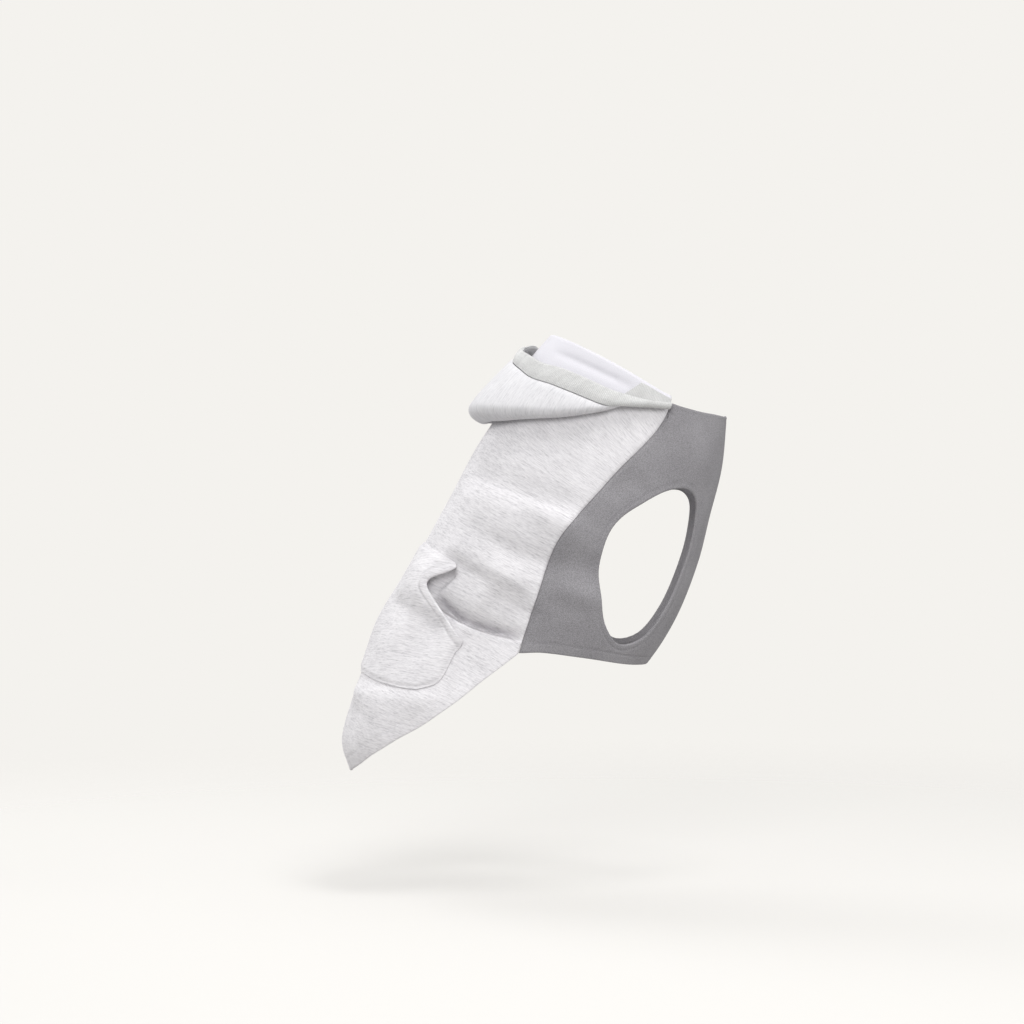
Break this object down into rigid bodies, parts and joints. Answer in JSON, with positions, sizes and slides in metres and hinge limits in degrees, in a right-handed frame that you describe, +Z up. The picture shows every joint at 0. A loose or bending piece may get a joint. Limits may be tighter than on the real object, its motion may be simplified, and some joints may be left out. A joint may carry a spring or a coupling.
{
  "type": "dog hoodie",
  "caption": "Sleeveless hooded garment for a dog: hollow fleece back with a rounded tail, jersey chest with leg openings, lined hood worn down, pocket over the spine.",
  "frame": {"origin": "middle of the neck opening, where the wearer holds the garment up", "axes": "+X towards the throat, +Y to the wearer's left, +Z up as worn by an upright sitting wearer"},
  "size_m": [0.3844, 0.1978, 0.4347],
  "materials": {
    "heather_fleece": "brushed fleece with fine heather streaks",
    "grey_jersey": "plain matte jersey",
    "white_lining": "smooth matte jersey",
    "rib_knit": "fine rib knit"
  },
  "bodies": {
    "root": {"back_panel": "heather_fleece", "chest_panel": "grey_jersey", "hood_right": "heather_fleece", "hood_left": "heather_fleece", "hood_lining_right": "white_lining", "hood_lining_left": "white_lining", "hood_band": "rib_knit", "pocket": "heather_fleece"}
  },
  "joints": []
}
